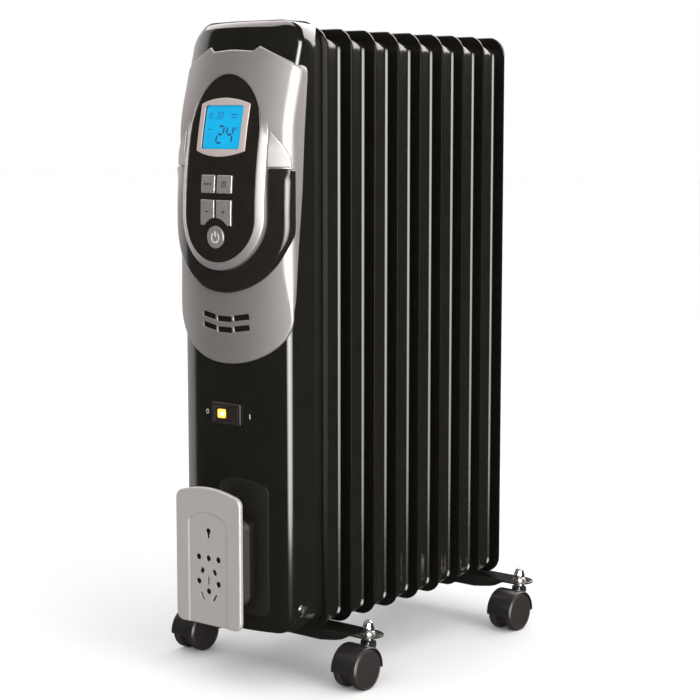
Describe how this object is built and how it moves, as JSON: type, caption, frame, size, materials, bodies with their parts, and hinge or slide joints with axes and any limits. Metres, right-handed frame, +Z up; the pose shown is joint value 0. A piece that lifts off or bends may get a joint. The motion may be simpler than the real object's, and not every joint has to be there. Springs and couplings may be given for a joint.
{
  "type": "oil filled radiator heater",
  "caption": "Upright oil filled fin radiator with digital control housing, cord store, mains rocker and swivel casters.",
  "frame": {"origin": "on the floor under the middle of the overall box", "axes": "+Z up; the controls face -Y; +X is to the right for a person who faces the controls"},
  "size_m": [0.244, 0.401, 0.6415],
  "materials": {
    "fin_enamel": "gloss black stoved enamel on pressed steel",
    "housing_enamel": "high-gloss black enamel",
    "silver_plastic": "satin silver metallic lacquer on plastic",
    "ring_silver": "satin silver, bright edge",
    "panel_black": "piano black",
    "handle_black": "gloss black",
    "key_silver": "brushed silver lacquer",
    "lcd_blue": "back-lit blue display",
    "module_white": "satin",
    "circuit_green": "solder mask",
    "dark_plastic": "satin black",
    "rocker_black": "gloss black with amber lamp",
    "grey_plastic": "satin grey",
    "gland_rubber": "matte",
    "foot_enamel": "semi-gloss black enamel",
    "bright_chrome": "polished",
    "zinc": "zinc plated",
    "element_steel": "drawn steel sheath",
    "bracket_steel": "satin",
    "ceramic": "glazed",
    "caster_plastic": "satin black nylon",
    "wheel_plastic": "satin dark brown-black nylon"
  },
  "bodies": {
    "root": {"fin_1": "fin_enamel", "fin_2": "fin_enamel", "fin_3": "fin_enamel", "fin_4": "fin_enamel", "fin_5": "fin_enamel", "fin_6": "fin_enamel", "fin_7": "fin_enamel", "fin_8": "fin_enamel", "fin_9": "fin_enamel", "header_rings_top": "fin_enamel", "header_rings_bottom": "fin_enamel", "header_caps": "fin_enamel", "filler_plug": "zinc", "element_flange": "zinc", "heating_elements": "element_steel", "thermal_cutout": "ceramic", "housing_shell": "housing_enamel", "housing_back": "bracket_steel", "top_cap": "housing_enamel", "fascia": "silver_plastic", "panel": "panel_black", "panel_ring": "ring_silver", "lcd_frame": "ring_silver", "lcd_window": "lcd_blue", "lcd_module": "module_white", "control_board": "circuit_green", "tact_switches": "dark_plastic", "power_board": "circuit_green", "handle": "handle_black", "front_screws": "zinc", "vent_screen": "dark_plastic", "rocker_bezel": "dark_plastic", "cord_plate": "silver_plastic", "cord_spool": "grey_plastic", "cord_gland": "gland_rubber", "tip_over_switch": "module_white", "housing_screws": "zinc", "foot_bar_front": "foot_enamel", "foot_bar_rear": "foot_enamel", "foot_clamps": "zinc", "caster_stems": "bright_chrome", "stem_nuts": "bright_chrome"},
    "key_mode": {"key_mode": "key_silver"},
    "key_timer": {"key_timer": "key_silver"},
    "key_minus": {"key_minus": "key_silver"},
    "key_plus": {"key_plus": "key_silver"},
    "key_power": {"key_power": "key_silver"},
    "rocker": {"rocker": "rocker_black"},
    "caster_fl": {"caster_hood_fl": "caster_plastic"},
    "wheel_fl_left": {"wheel_fl_left": "wheel_plastic"},
    "wheel_fl_right": {"wheel_fl_right": "wheel_plastic"},
    "caster_fr": {"caster_hood_fr": "caster_plastic"},
    "wheel_fr_left": {"wheel_fr_left": "wheel_plastic"},
    "wheel_fr_right": {"wheel_fr_right": "wheel_plastic"},
    "caster_rl": {"caster_hood_rl": "caster_plastic"},
    "wheel_rl_left": {"wheel_rl_left": "wheel_plastic"},
    "wheel_rl_right": {"wheel_rl_right": "wheel_plastic"},
    "caster_rr": {"caster_hood_rr": "caster_plastic"},
    "wheel_rr_left": {"wheel_rr_left": "wheel_plastic"},
    "wheel_rr_right": {"wheel_rr_right": "wheel_plastic"}
  },
  "joints": [
    {"name": "press_mode", "type": "slide", "parent": "root", "child": "key_mode", "axis": [0, 1, 0], "range_m": [0, 0.0008], "stiffness_N_per_m": 1200, "springref_m": -0.0004},
    {"name": "press_timer", "type": "slide", "parent": "root", "child": "key_timer", "axis": [0, 1, 0], "range_m": [0, 0.0008], "stiffness_N_per_m": 1200, "springref_m": -0.0004},
    {"name": "press_minus", "type": "slide", "parent": "root", "child": "key_minus", "axis": [0, 1, 0], "range_m": [0, 0.0008], "stiffness_N_per_m": 1200, "springref_m": -0.0004},
    {"name": "press_plus", "type": "slide", "parent": "root", "child": "key_plus", "axis": [0, 1, 0], "range_m": [0, 0.0008], "stiffness_N_per_m": 1200, "springref_m": -0.0004},
    {"name": "press_power", "type": "slide", "parent": "root", "child": "key_power", "axis": [0, 1, 0], "range_m": [0, 0.0008], "stiffness_N_per_m": 1200, "springref_m": -0.0004},
    {"name": "rocker_tilt", "type": "hinge", "parent": "root", "child": "rocker", "pos_m": [0, -0.16847, 0.267], "axis": [0, 0, -1], "range_deg": [0, 14]},
    {"name": "swivel_fl", "type": "hinge", "parent": "root", "child": "caster_fl", "pos_m": [-0.107, -0.0869, 0.03], "axis": [0, 0, 1], "continuous": true},
    {"name": "roll_fl_left", "type": "hinge", "parent": "caster_fl", "child": "wheel_fl_left", "pos_m": [-0.11725, -0.1049, 0.02], "axis": [1, 0, 0], "continuous": true},
    {"name": "roll_fl_right", "type": "hinge", "parent": "caster_fl", "child": "wheel_fl_right", "pos_m": [-0.09675, -0.1049, 0.02], "axis": [1, 0, 0], "continuous": true},
    {"name": "swivel_fr", "type": "hinge", "parent": "root", "child": "caster_fr", "pos_m": [0.107, -0.0869, 0.03], "axis": [0, 0, 1], "continuous": true},
    {"name": "roll_fr_left", "type": "hinge", "parent": "caster_fr", "child": "wheel_fr_left", "pos_m": [0.09675, -0.1049, 0.02], "axis": [1, 0, 0], "continuous": true},
    {"name": "roll_fr_right", "type": "hinge", "parent": "caster_fr", "child": "wheel_fr_right", "pos_m": [0.11725, -0.1049, 0.02], "axis": [1, 0, 0], "continuous": true},
    {"name": "swivel_rl", "type": "hinge", "parent": "root", "child": "caster_rl", "pos_m": [-0.107, 0.1789, 0.03], "axis": [0, 0, 1], "continuous": true},
    {"name": "roll_rl_left", "type": "hinge", "parent": "caster_rl", "child": "wheel_rl_left", "pos_m": [-0.11725, 0.1609, 0.02], "axis": [1, 0, 0], "continuous": true},
    {"name": "roll_rl_right", "type": "hinge", "parent": "caster_rl", "child": "wheel_rl_right", "pos_m": [-0.09675, 0.1609, 0.02], "axis": [1, 0, 0], "continuous": true},
    {"name": "swivel_rr", "type": "hinge", "parent": "root", "child": "caster_rr", "pos_m": [0.107, 0.1789, 0.03], "axis": [0, 0, 1], "continuous": true},
    {"name": "roll_rr_left", "type": "hinge", "parent": "caster_rr", "child": "wheel_rr_left", "pos_m": [0.09675, 0.1609, 0.02], "axis": [1, 0, 0], "continuous": true},
    {"name": "roll_rr_right", "type": "hinge", "parent": "caster_rr", "child": "wheel_rr_right", "pos_m": [0.11725, 0.1609, 0.02], "axis": [1, 0, 0], "continuous": true}
  ]
}
